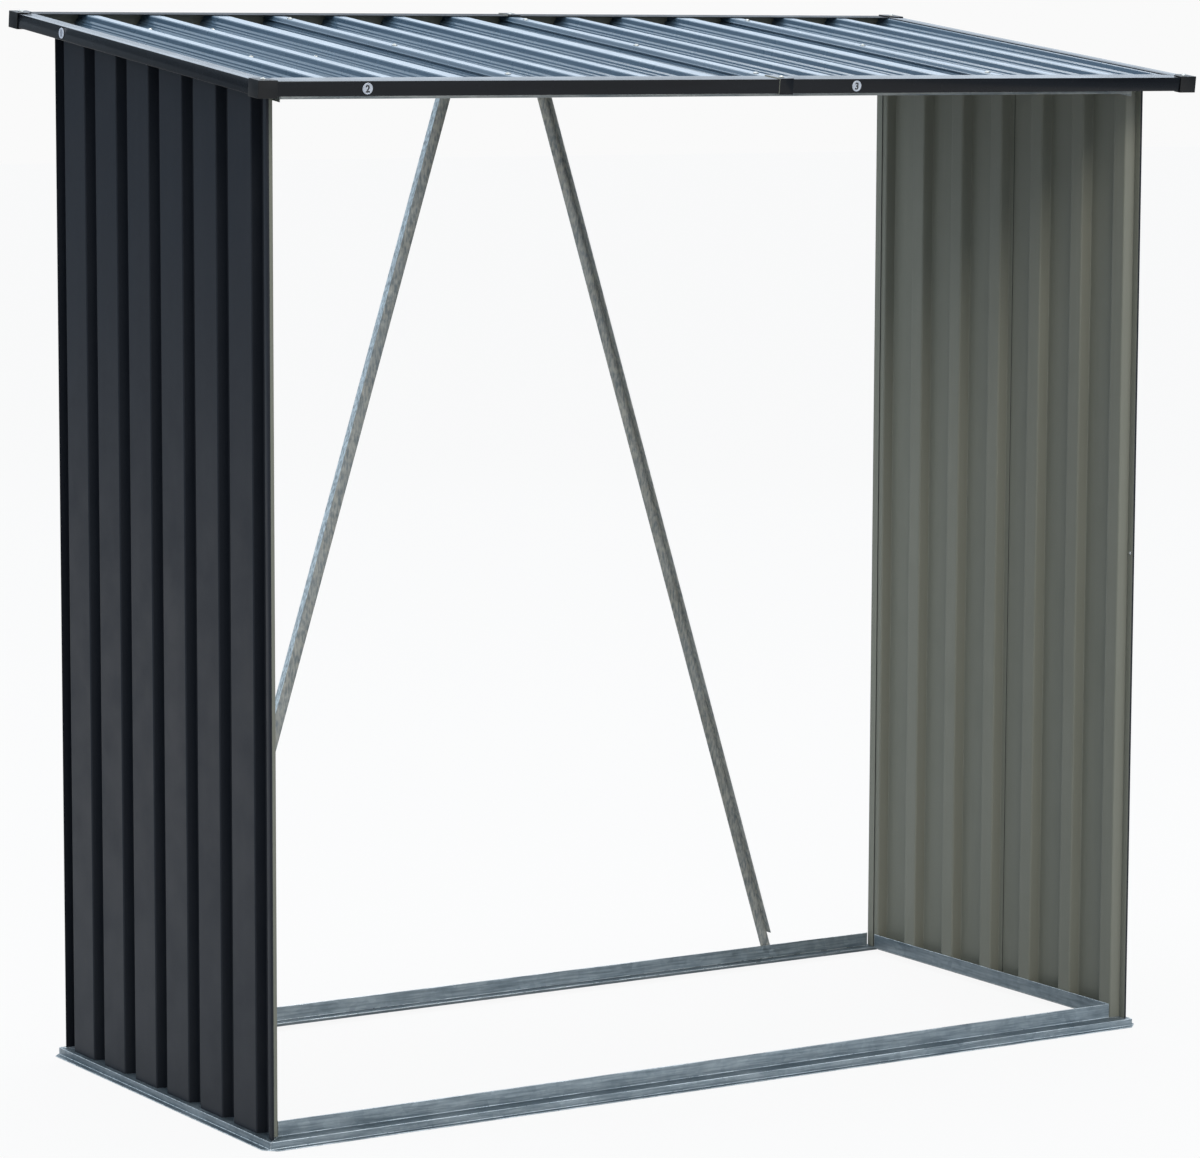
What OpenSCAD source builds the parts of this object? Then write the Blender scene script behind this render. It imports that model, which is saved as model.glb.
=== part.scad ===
// Log store: an open-fronted sheet-metal shelter for firewood.
// Two ribbed side walls stand on a folded base frame and carry a ribbed roof that
// falls towards the front. The front is open, and the rear has two diagonal braces.
// Units are millimetres. X runs to the right seen from the front, Y to the rear, Z up.
// The origin is on the ground, below the middle of the roof.

/* [Roof] */
// Width over the roof's corner caps
roof_w = 1630; // [1200:10:2600]
// Depth over the roof's corner caps
roof_d = 806; // [600:2:1400]
// Height of the roof's front edge
front_h = 1502; // [1000:1:2200]
// Fall of the roof towards the front, in degrees
roof_pitch = 6.7; // [3:0.1:12]
// Overhang of the roof in front of the side walls
front_over = 70; // [40:1:160]
// Overhang of the roof behind the side walls
rear_over = 56; // [40:1:160]
// Overhang of the roof at each side
side_over = 50; // [30:1:150]

/* [Ribbed sheet] */
// Distance from one rib to the next
pitch = 106; // [80:1:160]
// Width of a rib at its foot
rib_foot = 36; // [24:1:60]
// Height of a rib
rib_h = 17; // [8:1:25]
// Sideways lean of a wall groove's flank
flank = 4; // [2:0.5:12]
// Sideways lean of a roof rib's flank
roof_flank = 9.5; // [2:0.5:12]
// Extra width of the last rib of each roof sheet
wide_rib = 8; // [0:1:20]
// Distance from the first roof sheet's edge to the foot of its first rib
first_rib = 102.5; // [60:0.5:150]
// Flat strip of wall sheet before its first groove
end_strip = 14; // [10:1:40]
// Thickness of the ribbed sheet
sheet_t = 0.8; // [0.5:0.1:1.5]
// Overlap of two wall sheets
wall_lap = 10; // [5:1:40]

/* [Roof trim] */
// Thickness of the trim
trim_t = 1.2; // [0.6:0.1:2]
// Width of the front trim's top flange
front_flange = 40; // [20:1:60]
// Width of the other trims' top flange
side_flange = 28; // [20:1:60]
// Width of every trim's bottom flange
under_flange = 16; // [8:1:30]
// Place of the joint in the front and rear trim, right of the middle
joint_x = 51; // [-200:1:200]
// Length of the lap at that joint
joint_lap = 24; // [10:1:60]

/* [Corner caps] */
// Length of a corner cap along each side
cap_l = 30; // [26:1:60]
// Floor of a corner cap, under the trim
cap_floor = 2.1; // [1:0.1:6]
// Wall of a corner cap
cap_t = 1.5; // [1:0.1:3]
// Cut across a cap's inner corner
cap_chamfer = 12; // [4:1:20]

/* [Base frame] */
// Thickness of the base frame's metal
base_t = 1.5; // [1:0.1:3]
// Height of the ledge that the walls stand on
ledge_h = 12; // [8:1:30]
// Ledge outside the wall sheets
ledge_out = 8; // [4:1:20]
// Width of the flange on the ground
foot_out = 10; // [6:1:30]
// Upstand inside the walls, above the ledge
upstand_h = 22; // [15:1:60]

/* [Frame] */
// Thickness of the posts, rails and lintels
post_t = 1.2; // [1:0.1:3]
// Outer leg of a front post
post_outer_leg = 8; // [5:1:12]
// Leg of a rear post along the wall
rear_leg = 16; // [12:1:20]
// Outer lip of a wall's top rail
rail_lip = 6; // [4:1:15]
// Inner leg of a wall's top rail
rail_leg = 18; // [12:1:30]
// Height of the front lintel
front_lintel_h = 14; // [12:1:50]
// Height of the rear lintel
rear_lintel_h = 30; // [20:1:60]
// Height of the purlin under the middle of the roof
purlin_h = 20; // [15:1:50]
// Flanges of the lintels and of the purlin
lintel_flange = 24; // [15:1:40]

/* [Braces] */
// Half distance between the braces at their top
brace_top_x = 57; // [40:1:300]
// Half distance between the braces at their foot
brace_foot_x = 541; // [200:1:900]
// Width of a brace
brace_web = 18; // [12:1:40]
// Depth of a brace's edge flange
brace_flange = 15; // [8:1:30]
// Thickness of a brace
brace_t = 1.5; // [1:0.1:3]
// End stretch of a brace that has no edge flange
brace_end = 45; // [35:1:80]

/* [Fixings] */
// Diameter of a screw head
head_d = 9; // [6:0.5:14]
// Height of a screw head
head_h = 2; // [1:0.5:5]
// Width of a brace bolt's head
bolt_d = 7.2; // [5:0.1:12]
// Diameter of a number disc
disc_d = 16; // [10:1:24]
// Distance of the left front disc from the roof's left edge
disc_left = 170; // [50:1:400]
// Distance of the right front disc from the joint in the trim
disc_right = 125; // [30:1:400]
// Distance of the side discs from the roof's rear edge
disc_side = 183; // [50:1:400]
// Clearance between pieces that meet
fit = 0.3; // [0.1:0.05:0.5]

/* [Hidden] */
// The roof is made of this many sheets
sheet_count = 4;
// Places of the walls
y_front = front_over - roof_d / 2;
y_rear = roof_d / 2 - rear_over;
wall_d = y_rear - y_front;
x_wall = roof_w / 2 - side_over;
// Levels in the roof's own frame, whose zero is the top of the corner caps
trim_top = -cap_t - fit;
rib_top = trim_top - trim_t - fit;
valley_top = rib_top - rib_h;
roof_under = valley_top - sheet_t;
frame_top = roof_under - fit;
trim_bottom = frame_top - trim_t;
rail_under = frame_top - post_t;
// Height of a corner cap
cap_h = cap_floor + fit - trim_bottom;
// Slope length of the roof over its caps
roof_len = (roof_d - cap_h * sin(roof_pitch)) / cos(roof_pitch);
// Distance of the trim's outer faces inside the caps' outer faces
trim_in = cap_t + fit;
// Depth of the ribbed wall sheet, and the level just inside it
sheet_depth = rib_h + sheet_t;
inside = sheet_depth + fit;
// The wall's inner limit, past the rear posts and the top rail
rail_inner = inside + 2 * post_t + fit;
clear_x = x_wall - rail_inner - fit;
// Plane on which the braces meet the rear lintel and the rear rail's upstand
brace_y = y_rear + fit;
// Foot of the walls and posts, just above the ledge
wall_foot = ledge_h + fit;
// Inner leg of a front post, short of the first groove
post_inner_leg = end_strip - sheet_t - 4 * fit;
// Grooves in a wall, and the first groove of its rear sheet
groove_count = 1 + floor((wall_d - end_strip - rear_leg - head_d) / pitch);
lap_rib = floor(groove_count / 2);
// Half width of the roof's sheets, and the rib spaces that each sheet covers
roof_half = roof_w / 2 - trim_in - trim_t - fit;
sheet_ribs = ceil(2 * roof_half / (pitch * sheet_count));
sheet_cover = pitch * sheet_ribs;
// Size of the blocks that cut a piece to the roof's slope or to a mitre
big = 4000;
// Distance that a sheet is drawn in to lie under the one that laps over it
shrink = sheet_t + fit;
head_fn = 32;
// Width of a screw's drive above its washer
drive_d = head_d * 0.7;

// Height above the ground of a roof level at a place along Y
function roof_z(y, level) =
    front_h + (y + roof_d / 2) * tan(roof_pitch) + level / cos(roof_pitch);
// Place up the slope of a point on a roof level at a place along Y
function slope_at(y, level) = (y + roof_d / 2 + level * sin(roof_pitch)) / cos(roof_pitch);
// Foot, head, lean and length of a brace's middle line
brace_low = ledge_h + fit;
brace_high = roof_z(brace_y, rail_under) - fit;
brace_run = brace_foot_x - brace_top_x;
brace_rise = brace_high - brace_low;
brace_lean = atan(brace_run / brace_rise);
brace_len = sqrt(brace_run * brace_run + brace_rise * brace_rise);

// ---------- helpers ----------

// The roof's own frame: X as before, Y up the slope, Z square to the roof
module in_roof() {
    translate([0, -roof_d / 2, front_h]) rotate([roof_pitch, 0, 0]) children();
}

// Everything below a level of the roof
module below_roof(level) {
    intersection() {
        children();
        in_roof() translate([-big / 2, -big / 2, level - big]) cube([big, big, big]);
    }
}

// A profile drawn in (Y, Z) and carried along X between two places
module along_x(x0, x1) {
    translate([x0, 0, 0]) rotate([90, 0, 90]) linear_extrude(x1 - x0) children();
}

// ---------- ribbed sheet ----------

// Outer line of one rib that starts at x and has a given foot width
function rib_line(x, foot) = [
    [x, 0], [x + roof_flank, rib_h], [x + foot - roof_flank, rib_h], [x + foot, 0]];

// Inner line of the same rib, one sheet thickness inside it
function rib_inner(x, foot) = [
    [x + sheet_t, -sheet_t], [x + roof_flank + sheet_t, rib_h - sheet_t],
    [x + foot - roof_flank - sheet_t, rib_h - sheet_t], [x + foot - sheet_t, -sheet_t]];

// A list in reverse order
function reversed(list) = [for (i = [len(list) - 1:-1:0]) list[i]];

// ---------- roof sheets ----------

// Foot of the first rib of a sheet, and the width of each of its ribs
function sheet_start(i) = -roof_half + first_rib - pitch + sheet_cover * i;
function rib_width(j) = j == sheet_ribs - 1 ? rib_foot + wide_rib : rib_foot;

// Start of a sheet: the roof's edge for the first one, and otherwise a rib that begins
// half way up its flank, over the last rib of the sheet before
function sheet_open(i, x, depth) = i == 0
    ? [[-roof_half, -depth]]
    : [[x + roof_flank / 2 + depth, rib_h / 2 - depth], [x + roof_flank + depth, rib_h - depth],
       [x + rib_foot - roof_flank - depth, rib_h - depth], [x + rib_foot - depth, -depth]];

// End of a sheet: flat past the roof's edge for the last one, which is cut there, and
// otherwise a rib drawn in to lie under the first rib of the next sheet
function sheet_close(i, x, depth) = i == sheet_count - 1
    ? [[roof_half + pitch, -depth]]
    : let (in = depth + shrink)
      [[x + in, -depth], [x + roof_flank + in, rib_h - in],
       [x + rib_foot - roof_flank - in, rib_h - in],
       [x + rib_foot - roof_flank / 2 - in, rib_h / 2 - in]];

// One roof sheet, numbered from the left
module roof_sheet(i) {
    x0 = sheet_start(i);
    ribs = [for (j = [1:sheet_ribs - 1]) if (x0 + j * pitch < roof_half - roof_flank) j];
    top = concat(
        sheet_open(i, x0, 0),
        [for (j = ribs) each rib_line(x0 + j * pitch, rib_width(j))],
        sheet_close(i, x0 + sheet_cover, 0));
    bottom = concat(
        sheet_open(i, x0, sheet_t),
        [for (j = ribs) each rib_inner(x0 + j * pitch, rib_width(j))],
        sheet_close(i, x0 + sheet_cover, sheet_t));
    end_gap = trim_in + trim_t + fit;
    color("slategray") in_roof() translate([0, roof_len - end_gap, valley_top])
        rotate([90, 0, 0]) linear_extrude(roof_len - 2 * end_gap) intersection() {
            polygon(concat(top, reversed(bottom)));
            translate([-roof_half, -sheet_t]) square([2 * roof_half, rib_h + sheet_t]);
        }
}

// ---------- wall sheets ----------

// Outer line of grooves a to b, in (distance from the front, depth)
function groove_line(a, b) = [for (g = [a:1:b]) let (s = end_strip + g * pitch) each [
    [s, 0], [s + flank, -rib_h], [s + rib_foot - flank, -rib_h], [s + rib_foot, 0]]];

// Inner line of the same grooves
function groove_inner(a, b) = [for (g = [a:1:b]) let (s = end_strip + g * pitch) each [
    [s - sheet_t, -sheet_t], [s + flank - sheet_t, -sheet_depth],
    [s + rib_foot - flank + sheet_t, -sheet_depth], [s + rib_foot + sheet_t, -sheet_t]]];

// Edges of a wall's sheets, and the starts of its lapped groove and its last groove
front_edge = post_t + fit;
rear_edge = wall_d - post_t - fit;
lap_s = end_strip + lap_rib * pitch;
last_s = end_strip + (groove_count - 1) * pitch;
lap_lean = flank * shrink / rib_h;

// Stands a profile drawn in (distance from the front, depth) as the left wall
module as_left_wall() {
    below_roof(rail_under - fit)
        translate([-x_wall, y_front, wall_foot]) rotate([0, 0, 90])
            linear_extrude(roof_z(y_rear, 0) - wall_foot) children();
}

// Front sheet of the left wall, outside the rear one where they lap
module wall_front_sheet() {
    color("dimgray") as_left_wall() polygon(concat(
        [[front_edge, 0]], groove_line(0, lap_rib - 1), [[lap_s - fit, 0]],
        [[lap_s - fit, -sheet_t]], reversed(groove_inner(0, lap_rib - 1)),
        [[front_edge, -sheet_t]]));
}

// Rear sheet of the left wall, which ends at groove level against the rear post
module wall_rear_sheet() {
    color("dimgray") as_left_wall() polygon(concat(
        [[lap_s - wall_lap, -shrink], [lap_s + lap_lean, -shrink]],
        [[lap_s + flank, -rib_h], [lap_s + rib_foot - flank, -rib_h], [lap_s + rib_foot, 0]],
        groove_line(lap_rib + 1, groove_count - 2),
        [[last_s, 0], [last_s + flank, -rib_h], [rear_edge, -rib_h]],
        [[rear_edge, -sheet_depth], [last_s + flank - sheet_t, -sheet_depth],
         [last_s - sheet_t, -sheet_t]],
        reversed(groove_inner(lap_rib + 1, groove_count - 2)),
        [[lap_s + rib_foot + sheet_t, -sheet_t], [lap_s + rib_foot - flank + sheet_t, -sheet_depth],
         [lap_s + flank - sheet_t, -sheet_depth],
         [lap_s - sheet_t + lap_lean, -shrink - sheet_t],
         [lap_s - wall_lap, -shrink - sheet_t]]));
}

// ---------- base frame ----------

// Section of a base rail in (distance outside the wall, height). The upstand's outer
// face is at a given distance inside the wall.
module base_section(up) {
    polygon([
        [ledge_out + foot_out, 0], [ledge_out + foot_out, base_t], [ledge_out, base_t],
        [ledge_out, ledge_h], [-inside - base_t, ledge_h], [-inside - base_t, ledge_h - base_t],
        [ledge_out - base_t, ledge_h - base_t], [ledge_out - base_t, 0]]);
    translate([-up - base_t, ledge_h - base_t / 2]) square([base_t, upstand_h + base_t / 2]);
}

// Reach of the base frame outside the walls, and inside them
base_reach = ledge_out + foot_out;
base_band = inside + base_t + fit;

// Plan of the base frame with its corners cut off, which every rail stays inside
module base_plan() {
    x = x_wall + base_reach;
    a = y_front - base_reach;
    b = y_rear + base_reach;
    c = 1.8 * foot_out;
    linear_extrude(big) polygon([
        [-x + c, a], [x - c, a], [x, a + c], [x, b - c],
        [x - c, b], [-x + c, b], [-x, b - c], [-x, a + c]]);
}

// Plan of a front or rear rail between its mitres, drawn with its outer side at -Y
module mitred_plan() {
    x = x_wall + base_reach - fit / 2;
    in = x_wall - base_band - fit / 2;
    linear_extrude(big) polygon([
        [-x, -base_reach], [x, -base_reach], [in, base_band], [-in, base_band]]);
}

// Front rail, with its upstand inside the walls
module base_front_rail() {
    color("lightsteelblue") intersection() {
        translate([0, y_front, 0]) along_x(-x_wall - base_reach, x_wall + base_reach)
            mirror([1, 0, 0]) base_section(inside);
        translate([0, y_front, 0]) mitred_plan();
        base_plan();
    }
}

// Rear rail, whose upstand stands between the rear posts and carries the braces
module base_rear_rail() {
    color("lightsteelblue") difference() {
        intersection() {
            translate([0, y_rear, 0]) along_x(-x_wall - base_reach, x_wall + base_reach)
                base_section(0);
            translate([0, y_rear, 0]) mirror([0, 1, 0]) mitred_plan();
            base_plan();
        }
        for (side = [-1, 1])
            translate([side * (clear_x + big / 2) - big / 2, y_rear - rear_leg, ledge_h])
                cube([big, 2 * rear_leg, big]);
    }
}

// Left rail, mitred at both ends
module base_side_rail() {
    g = fit / 2;
    color("lightsteelblue") intersection() {
        translate([-x_wall, y_rear + base_reach, 0]) rotate([90, 0, 0])
            linear_extrude(wall_d + 2 * base_reach) mirror([1, 0, 0]) base_section(inside);
        linear_extrude(big) polygon([
            [-x_wall - base_reach, y_front - base_reach + g],
            [-x_wall + base_band, y_front + base_band + g],
            [-x_wall + base_band, y_rear - base_band - g],
            [-x_wall - base_reach, y_rear + base_reach - g]]);
        base_plan();
    }
}

// ---------- posts, rails and lintels ----------

// Front post of the left wall: a narrow channel that closes the sheet's front edge
module front_post() {
    out = post_t + fit;
    in = sheet_t + fit + post_t;
    color("gray") below_roof(rail_under - fit)
        translate([-x_wall, y_front, wall_foot]) rotate([0, 0, 90])
            linear_extrude(front_h + roof_d) polygon([
                [0, out], [post_outer_leg, out], [post_outer_leg, fit], [post_t, fit],
                [post_t, post_t - in], [post_inner_leg, post_t - in], [post_inner_leg, -in],
                [0, -in]]);
}

// Rear post of the left wall: an angle behind the sheet's rear edge
module rear_post() {
    in = inside + post_t;
    color("gray") below_roof(rail_under - fit)
        translate([-x_wall, y_rear, wall_foot]) rotate([0, 0, 90])
            linear_extrude(front_h + roof_d) polygon([
                [0, 0], [0, -in], [-rear_leg, -in], [-rear_leg, -inside],
                [-post_t, -inside], [-post_t, 0]]);
}

// Top rail of the left wall: a channel turned down over posts and sheets
module top_rail() {
    v0 = slope_at(y_front, frame_top);
    v1 = slope_at(y_rear, frame_top);
    out = 2 * (post_t + fit);
    color("gray") in_roof()
        translate([-x_wall, v1, frame_top]) rotate([90, 0, 0]) linear_extrude(v1 - v0) polygon([
            [-out, 0], [rail_inner, 0], [rail_inner, -rail_leg], [rail_inner - post_t, -rail_leg],
            [rail_inner - post_t, -post_t], [post_t - out, -post_t], [post_t - out, -rail_lip],
            [-out, -rail_lip]]);
}

// A channel across the store under the roof: its web is at y, and its flanges reach
// towards the rear where way is 1 and towards the front where way is -1
module cross_member(y, height, way) {
    a = y;
    b = y + way * post_t;
    c = y + way * lintel_flange;
    foot = roof_z(a, frame_top) - height;
    color("darkgray") along_x(-clear_x, clear_x) polygon([
        [a, foot], [a, roof_z(a, frame_top)], [c, roof_z(c, frame_top)],
        [c, roof_z(c, frame_top) - post_t], [b, roof_z(b, frame_top) - post_t],
        [b, foot + post_t], [c, foot + post_t], [c, foot]]);
}

// ---------- roof trim ----------

// Section of a trim in (distance inwards, level), grown outwards by over and with
// walls of a given thickness
module trim_section(flange, over, thick) {
    polygon([
        [-over, trim_bottom - over], [under_flange, trim_bottom - over],
        [under_flange, trim_bottom - over + thick], [thick - over, trim_bottom - over + thick],
        [thick - over, trim_top + over - thick], [flange, trim_top + over - thick],
        [flange, trim_top + over], [-over, trim_top + over]]);
}

// Plan of the front or the rear trim between its mitres
module end_plan(at_front) {
    x = roof_w / 2 - trim_in;
    v = at_front ? trim_in : roof_len - trim_in;
    s = at_front ? 1 : -1;
    d = 2 * front_flange;
    g = fit / 2;
    translate([0, 0, -big / 2]) linear_extrude(big) polygon([
        [-x + g - cap_l, v - s * cap_l], [x - g + cap_l, v - s * cap_l],
        [x - g - d, v + s * d], [-x + g + d, v + s * d]]);
}

// Plan of the left side trim between its mitres
module side_plan() {
    x = roof_w / 2 - trim_in;
    d = 2 * front_flange;
    g = fit / 2;
    translate([0, 0, -big / 2]) linear_extrude(big) polygon([
        [-x - cap_l, trim_in - cap_l + g], [-x + d, trim_in + d + g],
        [-x + d, roof_len - trim_in - d - g], [-x - cap_l, roof_len - trim_in + cap_l - g]]);
}

// One stretch of front or rear trim between two places along X
module end_stretch(at_front, flange, x0, x1, over, thick) {
    v = at_front ? trim_in : roof_len - trim_in;
    translate([x0, v, 0]) rotate([90, 0, 90]) linear_extrude(x1 - x0)
        mirror([at_front ? 0 : 1, 0, 0]) trim_section(flange, over, thick);
}

// Left or right half of the front or rear trim; the left half laps over the right
module end_trim(at_front, left) {
    flange = at_front ? front_flange : side_flange;
    half = roof_w / 2;
    color("darkslategray") in_roof() {
        if (left) {
            intersection() {
                end_stretch(at_front, flange, -half, joint_x - fit, 0, trim_t);
                end_plan(at_front);
            }
            end_stretch(at_front, flange, joint_x - joint_lap / 2, joint_x - fit,
                        trim_t + fit, trim_t + fit);
            end_stretch(at_front, flange, joint_x - fit, joint_x + joint_lap / 2,
                        trim_t + fit, trim_t);
        } else {
            intersection() {
                end_stretch(at_front, flange, joint_x, half, 0, trim_t);
                end_plan(at_front);
            }
        }
    }
}

// Left side trim
module side_trim() {
    color("darkslategray") in_roof() intersection() {
        translate([-roof_w / 2 + trim_in, roof_len, 0]) rotate([90, 0, 0])
            linear_extrude(roof_len) trim_section(side_flange, 0, trim_t);
        side_plan();
    }
}

// Corner cap at the left front, drawn from its outer corner
module corner_cap() {
    floor_level = trim_bottom - fit;
    color("black") difference() {
        translate([0, 0, -cap_h]) linear_extrude(cap_h) polygon([
            [0, 0], [cap_l, 0], [cap_l, cap_l - cap_chamfer], [cap_l - cap_chamfer, cap_l],
            [0, cap_l]]);
        translate([cap_t, cap_t, floor_level]) cube([cap_l, cap_l, -cap_t - floor_level]);
        translate([cap_l / 2, cap_l / 2, -cap_h - cap_t])
            cube([cap_l, cap_l, cap_h + cap_t + floor_level + fit]);
    }
}

// Places a cap at one of the four corners
module cap_at(right, rear) {
    in_roof() translate([right ? roof_w / 2 : -roof_w / 2, rear ? roof_len : 0, 0])
        mirror([right ? 1 : 0, 0, 0]) mirror([0, rear ? 1 : 0, 0]) corner_cap();
}

// ---------- braces ----------

// Left brace, an angle behind the rear lintel and the rear rail's upstand. Its edge flange
// reaches towards the rear and stops short of both ends.
module brace() {
    color("lightsteelblue") intersection() {
        translate([-brace_foot_x, brace_y, brace_low]) rotate([0, brace_lean, 0])
            translate([-brace_web / 2, 0, -brace_end]) union() {
                cube([brace_web, brace_t, brace_len + 2 * brace_end]);
                translate([0, 0, 2 * brace_end])
                    cube([brace_t, brace_flange, brace_len - 2 * brace_end]);
            }
        translate([-big / 2, -big / 2, brace_low]) cube([big, big, brace_rise]);
    }
}

// ---------- fixings ----------

// A screw head that stands up along Z
module head() {
    cylinder(h = head_h / 2, d = head_d, $fn = head_fn);
    translate([0, 0, head_h / 2]) cylinder(h = head_h / 2, d = drive_d, $fn = head_fn);
}

// Rows of roof screws: in the valleys over the front lintel, purlin and rear lintel
rows = [y_front + lintel_flange / 2, y_front + wall_d / 2, y_rear - lintel_flange / 2];
screw_back = head_d;
module roof_screws() {
    color("silver") in_roof() for (y = rows) {
        for (i = [0:sheet_count - 1], j = [sheet_ribs - 2, sheet_ribs - 1])
            let (x = sheet_start(i) + j * pitch - screw_back)
                if (x < roof_half - side_flange - head_d)
                    translate([x, slope_at(y, valley_top), valley_top + fit / 2]) head();
        for (i = [1:sheet_count - 1])
            translate([sheet_start(i) + rib_foot / 2, slope_at(y, rib_top), rib_top + fit / 2])
                head();
    }
}

// A screw near the middle of each cap's top
module cap_screws() {
    inset = cap_l / 2 - cap_t;
    color("silver") in_roof()
        for (x = [-roof_w / 2 + inset, roof_w / 2 - inset], v = [inset, roof_len - inset])
            translate([x, v, fit / 2]) head();
}

// Screws on the lapped joints of the front and rear trim
module trim_screws() {
    color("silver") in_roof() for (v = [trim_in + side_flange / 2,
                                        roof_len - trim_in - side_flange / 2])
        translate([joint_x, v, trim_top + trim_t + fit + fit / 2]) head();
}

// A screw head on the left wall that points outwards, at a distance from the front
module wall_head(s, depth, z) {
    translate([-x_wall + depth - fit / 2, y_front + s, z]) rotate([0, -90, 0]) head();
}

// Screws in the grooves at the foot and the head of the left wall, and one in the post
module wall_screws() {
    foot_z = ledge_h + upstand_h / 2;
    last = (last_s + flank + rear_edge) / 2;
    color("silver") {
        for (g = [0:groove_count - 1]) {
            s = g == groove_count - 1 ? last : end_strip + g * pitch + rib_foot / 2;
            wall_head(s, rib_h, foot_z);
            wall_head(s, rib_h, roof_z(y_front + s, frame_top) - rail_leg / 2);
        }
        translate([-x_wall + shrink + post_t + fit / 2, y_front + post_inner_leg / 2,
                   (front_h + ledge_h) / 2]) rotate([0, 90, 0])
            cylinder(h = head_h, d = drive_d, $fn = head_fn);
    }
}

// Bolts that hold the braces to the rear lintel and to the base upstand
module brace_bolts() {
    low = ledge_h + upstand_h / 2;
    high = roof_z(brace_y, frame_top) - rear_lintel_h / 2;
    color("silver") for (side = [-1, 1], z = [low, high])
        translate([side * (brace_foot_x - (z - brace_low) * brace_run / brace_rise),
                   brace_y + brace_t + fit / 2, z]) rotate([-90, 0, 0])
            cylinder(h = head_h, d = bolt_d, $fn = 6);
}

// Number discs on the faces of the front and side trims
module number_discs() {
    level = (trim_top + trim_bottom) / 2;
    face = trim_in - fit / 2;
    color("lightgray") in_roof() {
        for (x = [disc_left - roof_w / 2, joint_x + disc_right])
            translate([x, face, level]) rotate([90, 0, 0])
                cylinder(h = face - fit, d = disc_d, $fn = 2 * head_fn);
        for (side = [-1, 1])
            translate([side * (roof_w / 2 - face), roof_len - disc_side, level])
                rotate([0, side * 90, 0]) cylinder(h = face - fit, d = disc_d, $fn = 2 * head_fn);
    }
}

// ---------- the store ----------

base_front_rail();  // base_rail_front
base_rear_rail();  // base_rail_rear
base_side_rail();  // base_rail_left
mirror([1, 0, 0]) base_side_rail();  // base_rail_right
front_post();  // post_front_left
mirror([1, 0, 0]) front_post();  // post_front_right
rear_post();  // post_rear_left
mirror([1, 0, 0]) rear_post();  // post_rear_right
top_rail();  // top_rail_left
mirror([1, 0, 0]) top_rail();  // top_rail_right
cross_member(y_front + post_t + fit, front_lintel_h, 1);  // front_lintel
cross_member(y_rear, rear_lintel_h, -1);  // rear_lintel
cross_member(y_front + (wall_d - lintel_flange) / 2, purlin_h, 1);  // roof_purlin
wall_front_sheet();  // wall_left_front_sheet
wall_rear_sheet();  // wall_left_rear_sheet
mirror([1, 0, 0]) wall_front_sheet();  // wall_right_front_sheet
mirror([1, 0, 0]) wall_rear_sheet();  // wall_right_rear_sheet
roof_sheet(0);  // roof_sheet_1
roof_sheet(1);  // roof_sheet_2
roof_sheet(2);  // roof_sheet_3
roof_sheet(3);  // roof_sheet_4
end_trim(true, true);  // trim_front_left
end_trim(true, false);  // trim_front_right
end_trim(false, true);  // trim_rear_left
end_trim(false, false);  // trim_rear_right
side_trim();  // trim_side_left
mirror([1, 0, 0]) side_trim();  // trim_side_right
cap_at(false, false);  // cap_front_left
cap_at(true, false);  // cap_front_right
cap_at(false, true);  // cap_rear_left
cap_at(true, true);  // cap_rear_right
brace();  // brace_left
translate([0, 2 * brace_y + brace_t, 0]) rotate([0, 0, 180]) brace();  // brace_right
roof_screws();
cap_screws();
trim_screws();
wall_screws();  // wall_screws_left
mirror([1, 0, 0]) wall_screws();  // wall_screws_right
brace_bolts();
number_discs();
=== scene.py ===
"""Log store: an open-fronted sheet-metal shelter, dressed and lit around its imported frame.

The frame gives every place. The ribbed sheets, screws and number discs are made new here,
and the folded strips and moulded caps are copies of the frame's pieces with eased edges.
All lengths are metres, X to the right, Y to the rear and Z up.
"""

import logging
import math
from dataclasses import dataclass, field
from enum import Enum

import bmesh
import bpy
import numpy as np
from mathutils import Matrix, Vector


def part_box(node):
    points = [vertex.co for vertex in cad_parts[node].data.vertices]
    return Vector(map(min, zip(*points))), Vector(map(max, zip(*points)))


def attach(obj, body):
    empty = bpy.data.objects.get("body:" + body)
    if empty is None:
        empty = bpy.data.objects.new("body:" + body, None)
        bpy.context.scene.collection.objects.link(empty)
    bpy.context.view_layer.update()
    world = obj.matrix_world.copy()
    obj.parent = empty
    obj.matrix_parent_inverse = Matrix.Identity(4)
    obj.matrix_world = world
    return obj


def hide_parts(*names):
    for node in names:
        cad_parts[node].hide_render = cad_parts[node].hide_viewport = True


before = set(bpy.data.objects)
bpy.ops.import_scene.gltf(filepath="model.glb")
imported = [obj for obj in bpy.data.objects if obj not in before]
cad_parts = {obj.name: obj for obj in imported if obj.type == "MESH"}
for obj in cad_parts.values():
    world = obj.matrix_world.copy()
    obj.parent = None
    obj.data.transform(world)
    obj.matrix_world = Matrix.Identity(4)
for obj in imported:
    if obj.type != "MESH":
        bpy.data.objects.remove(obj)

MM = 0.001
SAME_POINT = 1e-6
BODY = "root"
LOG = logging.getLogger("log_store")


class Slot(Enum):
    """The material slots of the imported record."""

    FRAME = "galvanised_frame"
    WALL = "wall_paint"
    ROOF = "roof_paint"
    TRIM = "trim_paint"
    CAP = "cap_plastic"
    SCREW = "zinc_screws"
    DISC = "disc_plastic"


class Backing(Enum):
    """Which faces of a folded piece take its second finish: the sheet's backing coat, or a
    painted shadow or painted light.
    """

    NONE = "none"
    HOLLOW = "the faces inside its folds"
    BAY = "the faces towards the middle of the store"
    # A brace's outward flange faces take a lighter finish: painted light.
    FLANGE = "the faces of a brace's flange away from the middle of the store"
    # Up-facing faces of a base rail's ledge take a darker zinc, a painted shadow of the wall
    # above.
    LEDGE = "the faces that look up, painted darker as shadow"


# ---------- colours and nodes ----------


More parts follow.
